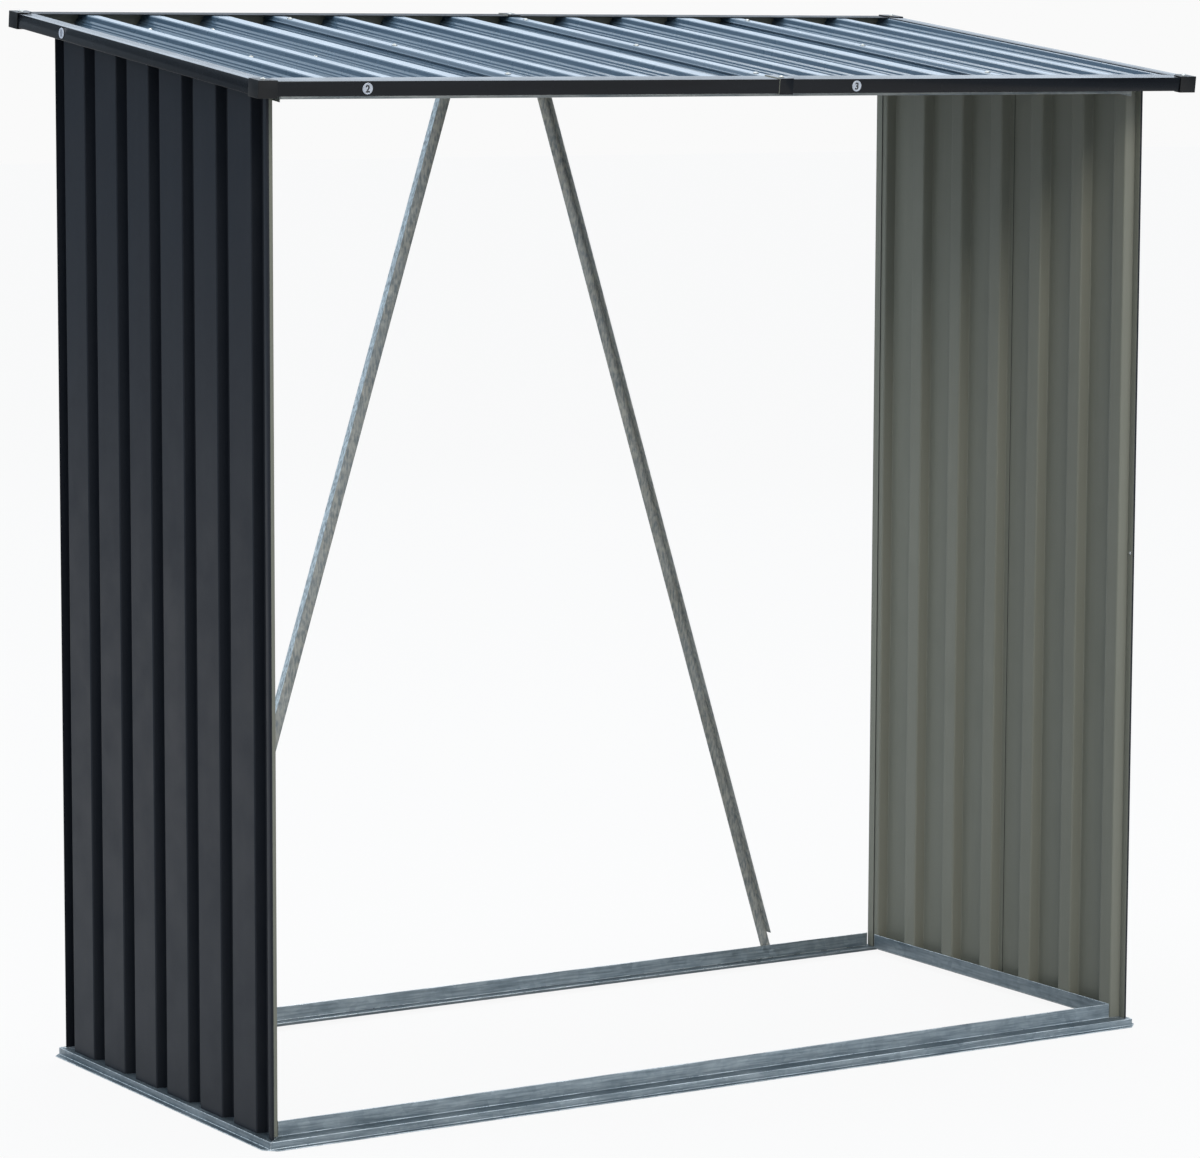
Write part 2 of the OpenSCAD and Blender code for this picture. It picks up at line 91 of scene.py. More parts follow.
def linear(hex_colour: str) -> tuple[float, float, float, float]:
    """Turns an sRGB hex colour to linear light.

    Args:
        hex_colour: six hex digits after a hash.

    Returns:
        Linear red, green, blue and an alpha of one.
    """
    srgb = np.array([int(hex_colour[i:i + 2], 16) for i in (1, 3, 5)]) / 255.0
    light = np.where(srgb <= 0.04045, srgb / 12.92, ((srgb + 0.055) / 1.055) ** 2.4)
    return (float(light[0]), float(light[1]), float(light[2]), 1.0)


def add_node(tree: bpy.types.NodeTree, kind: str, settings: dict | None = None,
             links: dict | None = None) -> bpy.types.Node:
    """Adds one node to a tree.

    Args:
        tree: the node tree.
        kind: the node's type name.
        settings: values of its properties, or of its inputs by name or number.
        links: output sockets that feed its inputs, by name or number.

    Returns:
        The new node.
    """
    node = tree.nodes.new(kind)
    for key, value in (settings or {}).items():
        if isinstance(key, str) and hasattr(node, key):
            setattr(node, key, value)
        else:
            node.inputs[key].default_value = value
    for key, socket in (links or {}).items():
        tree.links.new(socket, node.inputs[key])
    return node


def fresh_tree(owner: bpy.types.Material | bpy.types.World) -> bpy.types.NodeTree:
    """Gives a material or a surround an empty node tree.

    Args:
        owner: the material or the surround.

    Returns:
        Its tree.
    """
    owner.use_nodes = True
    owner.node_tree.nodes.clear()
    return owner.node_tree


def add_object(name: str, data: bpy.types.ID) -> bpy.types.Object:
    """Puts a new object into the scene.

    Args:
        name: its name.
        data: its mesh, curve, lamp or camera data.

    Returns:
        The object.
    """
    thing = bpy.data.objects.new(name, data)
    bpy.context.scene.collection.objects.link(thing)
    return thing


@dataclass(frozen=True)
class Finish:
    """What every finish of the store has in common."""

    name: str
    colour: str
    roughness: float

    def material(self) -> bpy.types.Material:
        """Gives the finish's material, made the first time that it is asked for.

        Returns:
            The material.
        """
        made = bpy.data.materials.get(self.name)
        if made is None:
            made = bpy.data.materials.new(self.name)
            made.diffuse_color = linear(self.colour)
            tree = fresh_tree(made)
            place = add_node(tree, "ShaderNodeTexCoord").outputs["Object"]
            shader = self.shader(tree, place)
            add_node(tree, "ShaderNodeOutputMaterial", links={"Surface": shader.outputs[0]})
        return made

    def shader(self, tree: bpy.types.NodeTree, place: bpy.types.NodeSocket) -> bpy.types.Node:
        """Builds the finish's nodes.

        Args:
            tree: the material's node tree.
            place: the socket of object coordinates, in metres.

        Returns:
            The shader node.
        """
        raise NotImplementedError

    def noise(self, tree: bpy.types.NodeTree, place: bpy.types.NodeSocket, grain_mm: float,
              stretch: tuple[float, float, float] = (1.0, 1.0, 1.0),
              detail: float = 3.0) -> bpy.types.NodeSocket:
        """Adds a cloudy pattern of a real grain size.

        Args:
            tree: the material's node tree.
            place: the socket of object coordinates.
            grain_mm: size of one blotch, in millimetres.
            stretch: factors by which the pattern is squeezed along X, Y and Z.
            detail: octaves of finer detail.

        Returns:
            The pattern's socket, from 0 to 1.
        """
        squeezed = add_node(tree, "ShaderNodeMapping", {"Scale": stretch}, {"Vector": place})
        pattern = add_node(tree, "ShaderNodeTexNoise",
                           {"Scale": 1000.0 / grain_mm, "Detail": detail, "Roughness": 0.55},
                           {"Vector": squeezed.outputs[0]})
        return pattern.outputs["Fac"]

    def cover(self, tree: bpy.types.NodeTree, under: str | bpy.types.NodeSocket, over: str,
              pattern: bpy.types.NodeSocket, share: float, start: float = 0.3,
              end: float = 0.7, least: float = 0.0) -> bpy.types.NodeSocket:
        """Covers a colour with another one where a pattern is strong.

        Args:
            tree: the material's node tree.
            under: the colour below, as a hex colour or a socket.
            over: the hex colour on top.
            pattern: the pattern's socket.
            share: how much of the top colour shows where the pattern is at its end value.
            start: pattern value at which the top colour starts to show.
            end: pattern value from which it shows most.
            least: how much of it shows before the start.

        Returns:
            The mixed colour's socket.
        """
        amount = add_node(tree, "ShaderNodeMapRange",
                          {1: start, 2: end, 3: least, 4: share}, {0: pattern})
        settings, links = {"data_type": "RGBA", 7: linear(over)}, {0: amount.outputs[0]}
        if isinstance(under, str):
            settings[6] = linear(under)
        else:
            links[6] = under
        return add_node(tree, "ShaderNodeMix", settings, links).outputs[2]

    def relief(self, tree: bpy.types.NodeTree, heights: list[tuple]) -> bpy.types.NodeSocket:
        """Stacks bumps, each from a pattern, a depth in millimetres and a strength.

        Args:
            tree: the material's node tree.
            heights: (pattern socket, depth in millimetres, strength) of each bump.

        Returns:
            The normal's socket.
        """
        normal = None
        for pattern, depth, strength in heights:
            links = {"Height": pattern}
            if normal is not None:
                links["Normal"] = normal
            normal = add_node(tree, "ShaderNodeBump",
                              {"Distance": depth * MM, "Strength": strength}, links).outputs[0]
        return normal


@dataclass(frozen=True)
class CoilCoatedSteel(Finish):
    """Polyester paint baked on steel coil before it is rolled.

    It gives a satin skin with faint orange peel, slow waves where the thin sheet drums,
    fine marks drawn along the rolling direction, and dust that gathers near the ground.
    """

    worn: str = "#808488"
    coat: float = 0.2
    coat_ior: float = 1.5
    gloss: float = 0.5
    along: tuple[float, float, float] = (1.0, 1.0, 0.04)
    marks: float = 0.12
    dust: float = 0.1
    wave: float = 0.25

    def shader(self, tree: bpy.types.NodeTree, place: bpy.types.NodeSocket) -> bpy.types.Node:
        """Builds satin paint with mottle, rolling marks, dust and peel.

        Args:
            tree: the material's node tree.
            place: the socket of object coordinates.

        Returns:
            The shader node.
        """
        mottle = self.noise(tree, place, 220.0)
        drawn = self.noise(tree, place, 14.0, self.along, 5.0)
        grime = self.noise(tree, place, 60.0, detail=6.0)
        height = add_node(tree, "ShaderNodeSeparateXYZ", links={0: place}).outputs["Z"]
        low = add_node(tree, "ShaderNodeMapRange", {1: 0.01, 2: 0.5, 3: self.dust, 4: 0.0},
                       {0: height})
        dusty = add_node(tree, "ShaderNodeMath", {"operation": "MULTIPLY"},
                         {0: low.outputs[0], 1: grime})
        mottled = self.cover(tree, self.colour, self.worn, mottle, 0.05)
        marked = self.cover(tree, mottled, self.worn, drawn, self.marks, 0.45, 0.85)
        colour = add_node(tree, "ShaderNodeMix", {"data_type": "RGBA", 7: linear("#A09A8E")},
                          {0: dusty.outputs[0], 6: marked})
        rough = add_node(tree, "ShaderNodeMapRange",
                         {1: 0.3, 2: 0.7, 3: self.roughness - 0.05, 4: self.roughness + 0.09},
                         {0: grime})
        # Real orange peel is about 1 mm across; it is drawn at 5 mm so that it can show.
        peel = self.noise(tree, place, 5.0, detail=2.0)
        drum = self.noise(tree, place, 170.0, detail=1.0)
        normal = self.relief(tree, [(drum, 3.0, self.wave), (peel, 0.08, 0.35)])
        return add_node(tree, "ShaderNodeBsdfPrincipled",
                        {"IOR": 1.5, "Coat Weight": self.coat, "Coat Roughness": 0.1,
                         "Coat IOR": self.coat_ior, "Specular IOR Level": self.gloss},
                        {"Base Color": colour.outputs[2], "Roughness": rough.outputs[0],
                         "Normal": normal})


@dataclass(frozen=True)
class GalvanisedSteel(Finish):
    """Hot-dip galvanised steel strip, folded to shape.

    It gives zinc crystals of slightly different greys, fine rolling streaks along the
    strip, and dull patches where the zinc has weathered.
    """

    bright: str = "#B4C2CA"
    crystal_mm: float = 9.0
    along: tuple[float, float, float] = (0.05, 1.0, 1.0)
    metal: tuple[float, float] = (0.9, 0.55)

    def shader(self, tree: bpy.types.NodeTree, place: bpy.types.NodeSocket) -> bpy.types.Node:
        """Builds zinc with crystals, streaks and weathered patches.

        Args:
            tree: the material's node tree.
            place: the socket of object coordinates.

        Returns:
            The shader node.
        """
        crystals = add_node(tree, "ShaderNodeTexVoronoi",
                            {"Scale": 1000.0 / self.crystal_mm, "Randomness": 1.0},
                            {"Vector": place})
        parts = add_node(tree, "ShaderNodeSeparateColor", links={0: crystals.outputs["Color"]})
        streak = self.noise(tree, place, 3.5, self.along, 6.0)
        patch = self.noise(tree, place, 90.0)
        grey = self.cover(tree, self.colour, self.bright, parts.outputs[0], 0.7, 0.0, 1.0, 0.25)
        streaky = self.cover(tree, grey, "#5F6C74", streak, 0.75, 0.4, 0.65)
        colour = self.cover(tree, streaky, "#A9B0B3", patch, 0.25, 0.45, 0.75)
        # Zinc carbonate dulls the metal in patches, which then scatter light as chalk does.
        metal = add_node(tree, "ShaderNodeMapRange",
                         {1: 0.3, 2: 0.7, 3: self.metal[0], 4: self.metal[1]}, {0: patch})
        rough = add_node(tree, "ShaderNodeMapRange",
                         {1: 0.0, 2: 1.0, 3: self.roughness - 0.06, 4: self.roughness + 0.1},
                         {0: parts.outputs[1]})
        normal = self.relief(tree, [(parts.outputs[2], 0.06, 0.12), (streak, 0.1, 0.3)])
        return add_node(tree, "ShaderNodeBsdfPrincipled", links={
            "Base Color": colour, "Metallic": metal.outputs[0], "Roughness": rough.outputs[0],
            "Normal": normal})


@dataclass(frozen=True)
class MouldedPlastic(Finish):
    """Injection-moulded plastic from a spark-eroded mould.

    It gives an even colour with a fine leathery grain and slow sink marks.
    """

    grain_mm: float = 1.4
    wear: str = "#3A3B3E"
    gloss: float = 0.5

    def shader(self, tree: bpy.types.NodeTree, place: bpy.types.NodeSocket) -> bpy.types.Node:
        """Builds grained plastic.

        Args:
            tree: the material's node tree.
            place: the socket of object coordinates.

        Returns:
            The shader node.
        """
        cloud = self.noise(tree, place, 12.0)
        grain = self.noise(tree, place, self.grain_mm, detail=2.0)
        colour = self.cover(tree, self.colour, self.wear, cloud, 0.16)
        rough = add_node(tree, "ShaderNodeMapRange",
                         {1: 0.3, 2: 0.7, 3: self.roughness - 0.06, 4: self.roughness + 0.08},
                         {0: cloud})
        normal = self.relief(tree, [(grain, 0.08, 0.4)])
        return add_node(tree, "ShaderNodeBsdfPrincipled",
                        {"IOR": 1.49, "Specular IOR Level": self.gloss},
                        {"Base Color": colour, "Roughness": rough.outputs[0],
                         "Normal": normal})


@dataclass(frozen=True)
class ZincPlate(Finish):
    """Bright electroplated zinc on a pressed screw head.

    It gives a clean silver with a faint yellow and blue passivation bloom.
    """

    def shader(self, tree: bpy.types.NodeTree, place: bpy.types.NodeSocket) -> bpy.types.Node:
        """Builds plated metal with a passivation bloom.

        Args:
            tree: the material's node tree.
            place: the socket of object coordinates.

        Returns:
            The shader node.
        """
        bloom = self.noise(tree, place, 4.0)
        colour = self.cover(tree, self.colour, "#C9C2AE", bloom, 0.7)
        rough = add_node(tree, "ShaderNodeMapRange",
                         {1: 0.3, 2: 0.7, 3: self.roughness - 0.05, 4: self.roughness + 0.12},
                         {0: bloom})
        normal = self.relief(tree, [(self.noise(tree, place, 1.0), 0.03, 0.3)])
        return add_node(tree, "ShaderNodeBsdfPrincipled", {"Metallic": 1.0},
                        {"Base Color": colour, "Roughness": rough.outputs[0],
                         "Normal": normal})


ANTHRACITE_WALL = CoilCoatedSteel("anthracite_coil_coat", "#202329", 0.36, worn="#33373C",
                                  coat=0.0, gloss=0.14, dust=0.02)
# Painted reflection: the roof's paint is anthracite, and this lighter slate blue, mottle
# included, is a painted reflection of the sky.
SKY_PAINTED_ROOF_COAT = CoilCoatedSteel("roof_coil_coat_painted_sky_reflection", "#4A5E6F", 0.27, worn="#6F808E", coat=0.45,
                            along=(1.0, 0.03, 1.0), marks=0.2, dust=0.0, wave=0.12)
TRIM_COAT = CoilCoatedSteel("anthracite_trim_coat", "#101216", 0.24, worn="#2C323A",
                            coat=0.5, coat_ior=1.3, along=(0.05, 1.0, 1.0), dust=0.0,
                            wave=0.08, gloss=0.1)
REAR_TRIM_COAT = CoilCoatedSteel("dulled_anthracite_trim_coat", "#14171C", 0.4,
                                 worn="#2C323A", coat=0.06, coat_ior=1.3,
                                 along=(0.05, 1.0, 1.0), dust=0.0, wave=0.08, gloss=0.1)
BACKING_COAT = CoilCoatedSteel("grey_backing_coat", "#78786C", 0.5, worn="#88887A",
                               coat=0.0, marks=0.25, dust=0.06)
STRIP_ZINC = GalvanisedSteel("galvanised_strip", "#808C93", 0.34, bright="#A6B1B7")
# The side rails' zinc has streaks along Y like the real strip. Its darker tone than the front and
# rear rails' zinc is painted shade.
SHADED_SIDE_ZINC = GalvanisedSteel("galvanised_side_strip_painted_shade", "#6F7C84", 0.34, bright="#94A0A7",
                            along=(1.0, 0.05, 1.0))
# Painted shadow: the ledge tops are darker zinc standing in for the wall's shadow, not
# weathering.
SHADED_LEDGE_ZINC = GalvanisedSteel("galvanised_ledge_painted_shadow", "#566168", 0.5, bright="#727D83")
# Painted highlight: the base rails' eased edges are near-white zinc standing in for the edge's
# reflection, not rubbed metal.
HIGHLIGHT_EDGE_ZINC = GalvanisedSteel("galvanised_edge_painted_highlight", "#D9E3E8", 0.3, bright="#F2F7F9")
LINTEL_ZINC = GalvanisedSteel("galvanised_lintel_strip", "#969896", 0.42, bright="#B4B6B3")
WEB_ZINC = GalvanisedSteel("galvanised_brace_web", "#A09F98", 0.46, bright="#BBBAB2",
                           along=(1.0, 1.0, 0.3))
# Painted light: the braces' outward flange faces are far lighter and bluer than the web of the
# same strip, standing in for light and sky reflection.
LIT_FLANGE_ZINC = GalvanisedSteel("galvanised_brace_flange_painted_light", "#D6E5EC", 0.42, bright="#E6F2F7",
                              along=(1.0, 1.0, 0.3), metal=(0.35, 0.1))
CAP_PLASTIC = MouldedPlastic("black_moulded_polypropylene", "#0F1012", 0.36, wear="#1F2023",
                             gloss=0.3)
DISC_PLASTIC = MouldedPlastic("grey_moulded_polystyrene", "#B9BDC6", 0.3, wear="#A5A9B2")
DIGIT_INK = MouldedPlastic("black_filled_digit", "#1A1C22", 0.45)
SEAL_RUBBER = MouldedPlastic("black_rubber_seal", "#202224", 0.75)
SCREW_ZINC = ZincPlate("bright_zinc_plate", "#B4BABF", 0.26)


# ---------- meshes ----------


def eased(corners: np.ndarray, radius: float, steps: int = 4) -> np.ndarray:
    """Rounds the corners of an open line.

    Each corner P gives way to the curve (1-t)^2 A + 2t(1-t) P + t^2 B, where A and B lie on
    its two sides at the bend's radius, or at 45% of the shorter side.

    Args:
        corners: (n, 2) corners of the line.
        radius: distance of A and B from the corner.
        steps: points on each bend.

    Returns:
        (m, 2) points of the eased line.
    """
    before = corners[1:-1] - corners[:-2]
    after = corners[2:] - corners[1:-1]
    long_a = np.linalg.norm(before, axis=1, keepdims=True)
    long_b = np.linalg.norm(after, axis=1, keepdims=True)
    cut = np.minimum(radius, 0.45 * np.minimum(long_a, long_b))
    a = (corners[1:-1] - before / long_a * cut)[:, None, :]
    b = (corners[1:-1] + after / long_b * cut)[:, None, :]
    p = corners[1:-1][:, None, :]
    t = np.linspace(0.0, 1.0, steps)[None, :, None]
    curve = (1 - t) ** 2 * a + 2 * t * (1 - t) * p + t ** 2 * b
    return np.concatenate([corners[:1], curve.reshape(-1, 2), corners[-1:]])


def grid_faces(rows: int, columns: int, closed: bool = False) -> np.ndarray:
    """Lists the four-sided faces of a grid of points.

    Args:
        rows: number of rows.
        columns: number of points in each row.
        closed: whether the last point of a row joins its first.

    Returns:
        (faces, 4) point numbers.
    """
    r = np.arange(rows - 1)[:, None]
    c = np.arange(columns if closed else columns - 1)[None, :]
    after = (c + 1) % columns
    return np.stack([r * columns + c, r * columns + after, (r + 1) * columns + after,
                     (r + 1) * columns + c], axis=-1).reshape(-1, 4)


def new_piece(name: str, points: np.ndarray, faces: list | np.ndarray, finishes: list[Finish],
              numbers: np.ndarray | None = None) -> bpy.types.Object:
    """Makes a piece that rides on the store.

    Args:
        name: the piece's name.
        points: (n, 3) points in metres.
        faces: point numbers of each face.
        finishes: its finishes, in the order of their numbers.
        numbers: finish number of each face, or None for the first.

    Returns:
        The object.
    """
    mesh = bpy.data.meshes.new(name)
    mesh.from_pydata(np.asarray(points).tolist(), [], np.asarray(faces).tolist()
                     if isinstance(faces, np.ndarray) else faces)
    for finish in finishes:
        mesh.materials.append(finish.material())
    if numbers is not None:
        mesh.polygons.foreach_set("material_index", np.asarray(numbers, dtype=np.int32))
    mesh.polygons.foreach_set("use_smooth", np.ones(len(mesh.polygons), dtype=bool))
    piece = add_object(name, mesh)
    mesh.update()
    return settle(piece)


def settle(piece: bpy.types.Object) -> bpy.types.Object:
    """Hangs a finished piece on the store and reports it.

    Args:
        piece: the object, in place.

    Returns:
        The same object.
    """
    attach(piece, BODY)
    LOG.info("%s: %d faces", piece.name, len(piece.data.polygons))
    return piece


def close_shells(piece: bpy.types.Object) -> None:
    """Merges a closed mesh's doubled points and turns its faces outwards.

    Args:
        piece: the piece, made of closed shells.
    """
    work = bmesh.new()
    work.from_mesh(piece.data)
    bmesh.ops.remove_doubles(work, verts=work.verts, dist=SAME_POINT / 10)
    bmesh.ops.recalc_face_normals(work, faces=work.faces)
    work.to_mesh(piece.data)
    work.free()


def separate_solids(node: str) -> list[np.ndarray]:
    """Splits a frame node into its separate solids.

    Args:
        node: the node's name.

    Returns:
        The points of each solid, in the order of their middles.
    """
    work = bmesh.new()
    work.from_mesh(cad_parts[node].data)
    bmesh.ops.remove_doubles(work, verts=work.verts, dist=SAME_POINT)
    left = set(work.verts)
    solids = []
    while left:
        reached = {left.pop()}
        edge = list(reached)
        while edge:
            fresh = {e.other_vert(v) for v in edge for e in v.link_edges} - reached
            reached |= fresh
            edge = list(fresh)
        left -= reached
        solids.append(np.array([v.co[:] for v in reached]))
    work.free()
    return sorted(solids, key=lambda pts: tuple(np.round(pts.mean(axis=0), 4)))


# ---------- the roof's own frame ----------


@dataclass(frozen=True)
class RoofPlane:
    """The roof's frame: X as before, up the slope, and square to the roof from its cap tops."""

    y_front: float
    z_front: float
    pitch: float
    length: float

    @classmethod
    def from_caps(cls, cap_length: float = 30 * MM, cap_height: float = 25 * MM) -> "RoofPlane":
        """Works the roof's slope out from the boxes of its corner caps.

        Args:
            cap_length: length of a cap up the slope.
            cap_height: height of a cap square to the roof.

        Returns:
            The roof's frame.
        """
        front_low, front_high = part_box("cap_front_left")
        rear_low, rear_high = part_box("cap_rear_left")
        pitch = math.atan2(rear_high[2] - front_high[2], rear_low[1] - front_low[1])
        depth = rear_high[1] - front_low[1]
        length = (depth - cap_height * math.sin(pitch)) / math.cos(pitch)
        pitch = math.asin((rear_high[2] - front_high[2]) / (length - cap_length))
        return cls(front_low[1], front_high[2] - cap_length * math.sin(pitch), pitch, length)

    def place(self, points: np.ndarray) -> np.ndarray:
        """Carries (x, up the slope, square to the roof) to the store's frame.

        Args:
            points: (..., 3) points.

        Returns:
            Points of the same shape in the store's frame.
        """
        x, v, w = points[..., 0], points[..., 1], points[..., 2]
        sin, cos = math.sin(self.pitch), math.cos(self.pitch)
        return np.stack([x, self.y_front + v * cos - w * sin,
                         self.z_front + v * sin + w * cos], axis=-1)

    def height(self, y: np.ndarray, level: float) -> np.ndarray:
        """Height of a roof level above places along Y.

        Args:
            y: places along Y.
            level: distance square to the roof from the cap tops.

        Returns:
            Heights in metres.
        """
        return (self.z_front + (y - self.y_front) * math.tan(self.pitch)
                + level / math.cos(self.pitch))


# ---------- roof sheets ----------


@dataclass
class RoofSheets:
    """Four ribbed sheets, each with its first rib lapped over the last rib before it."""

    roof: RoofPlane
    pitch: float = 106 * MM
    rib_foot: float = 36 * MM
    wide_rib: float = 8 * MM
    first_rib: float = 102.5 * MM
    rib_height: float = 17 * MM
    valley_level: float = -20.3 * MM
    thickness: float = 0.7 * MM
    end_gap: float = 3.3 * MM
    lap_height: float = 10.6 * MM
    lap_inset: float = 1.3 * MM
    lip_run: float = 6.7 * MM
    lip_fold: float = 1.5 * MM
    lip_low: float = 0.2 * MM
    lip_high: float = 0.9 * MM
    bend: float = 0.35 * MM
    drum: float = 0.25 * MM
    drum_length: float = 0.37
    drum_turn: float = 9.0
    spaces: int = 4
    sheets: int = 4
    stations: int = 34
    # A flank's stepped line from its foot to the rib's flat top, (across, up) in millimetres
    steps: np.ndarray = field(default_factory=lambda: np.array([
        (0.0, 0.0), (0.2, 0.6), (1.7, 1.6), (1.9, 3.4), (4.0, 4.9), (4.2, 7.2), (7.3, 9.6),
        (7.8, 15.6), (9.3, 17.0)]) * MM)

    def rib(self, x: float, foot: float, inset: float = 0.0) -> np.ndarray:
        """Outline of one rib: the stepped line, and the same line mirrored.

        Args:
            x: place of the rib's left foot.
            foot: width of the rib at its foot.
            inset: distance by which the outline is drawn in, for a rib that is lapped over.

        Returns:
            (n, 2) points, left to right.
        """
        shift = np.array([inset, -inset])
        left = np.maximum(self.steps + shift, (0.0, 0.0))
        right = left[::-1] * (-1.0, 1.0) + (foot, 0.0)
        return np.concatenate([left, right]) + (x, 0.0)

    def outline(self, number: int, left_edge: float, right_edge: float) -> np.ndarray:
        """Section of one sheet across the roof.

        Args:
            number: the sheet, from 0 at the left.
            left_edge: left edge of the roof's sheets.
            right_edge: right edge of the roof's sheets.

        Returns:
            (n, 2) points (x, height above the valleys), left to right.
        """
        start = left_edge + self.first_rib - self.pitch + self.spaces * self.pitch * number
        parts = []
        if number == 0:
            parts.append(np.array([(left_edge, 0.0)]))
        else:
            lapping = self.rib(start, self.rib_foot)
            far_half = lapping[:, 0] > start + self.rib_foot / 2
            kept = lapping[(lapping[:, 1] >= self.lap_height) | far_half]
            lip_x = start + self.lip_run
            lip = np.array([(lip_x - self.lip_fold, self.lap_height - self.lip_low),
                            (lip_x, self.lap_height + self.lip_high)])
            parts.append(np.concatenate([lip, kept]))
        for place in range(1, self.spaces):
            wide = self.wide_rib if place == self.spaces - 1 else 0.0
            if start + place * self.pitch < right_edge - self.steps[-1, 0]:
                parts.append(self.rib(start + place * self.pitch, self.rib_foot + wide))
        if number < self.sheets - 1:
            under = start + self.spaces * self.pitch
            lapped = self.rib(under, self.rib_foot, self.lap_inset)
            near_half = lapped[:, 0] < under + self.rib_foot / 2
            parts.append(lapped[near_half | (lapped[:, 1] > self.rib_height / 2)])
        else:
            parts.append(np.array([(right_edge + self.pitch, 0.0)]))
        line = np.concatenate(parts)
        if number == self.sheets - 1:
            inside = line[:, 0] < right_edge
            last = int(np.argmin(inside)) if not inside.all() else len(line)
            a, b = line[last - 1], line[last]
            cut = a + (b - a) * (right_edge - a[0]) / (b[0] - a[0])
            line = np.concatenate([line[:last], cut[None, :]])
        return eased(line, self.bend, 3)

    def build(self, number: int, left_edge: float, right_edge: float) -> bpy.types.Object:
        """Makes one sheet: its section carried up the slope, then given its thickness.

        The height at (x, v) is the section's height plus drum times sin(2 pi v / drum_length
        + drum_turn x) in the valleys, as thin sheet drums between its fixings.

        Args:
            number: the sheet, from 0 at the left.
            left_edge: left edge of the roof's sheets.
            right_edge: right edge of the roof's sheets.

        Returns:
            The sheet.
        """
        line = self.outline(number, left_edge, right_edge)
        v = np.linspace(self.end_gap, self.roof.length - self.end_gap, self.stations)
        across, along = np.meshgrid(line[:, 0], v)
        rise = np.broadcast_to(line[:, 1], across.shape)
        valley = np.clip(1.0 - rise / (2 * MM), 0.0, 1.0)
        phase = 2 * math.pi * along / self.drum_length + self.drum_turn * across
        drum = self.drum * np.sin(phase) * valley
        points = self.roof.place(np.stack([across, along, self.valley_level + rise + drum], -1))
        name = f"roof_sheet_{number + 1}"
        sheet = new_piece(f"{name}_rolled", points.reshape(-1, 3),
                          grid_faces(self.stations, len(line)), [SKY_PAINTED_ROOF_COAT, BACKING_COAT])
        thicken(sheet, self.thickness)
        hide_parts(name)
        return sheet

    def build_all(self) -> None:
        """Makes the sheets between the edges that the frame gives."""
        left_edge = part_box("roof_sheet_1")[0][0]
        right_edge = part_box(f"roof_sheet_{self.sheets}")[1][0]
        for number in range(self.sheets):
            self.build(number, left_edge, right_edge)


def thicken(sheet: bpy.types.Object, thickness: float) -> None:
    """Gives a surface its thickness behind its face, with the backing coat inside.

    Args:
        sheet: the surface, whose second finish is the backing coat.
        thickness: the sheet's thickness.
    """
    wall = sheet.modifiers.new("thickness", "SOLIDIFY")
    wall.thickness = thickness
    wall.offset = -1.0
    wall.use_even_offset = True
    wall.thickness_clamp = 0.0
    wall.material_offset = 1
    wall.material_offset_rim = 0
    crisp = sheet.modifiers.new("flat_faces", "WEIGHTED_NORMAL")
    crisp.mode = "FACE_AREA"
    crisp.keep_sharp = True


# ---------- wall sheets ----------


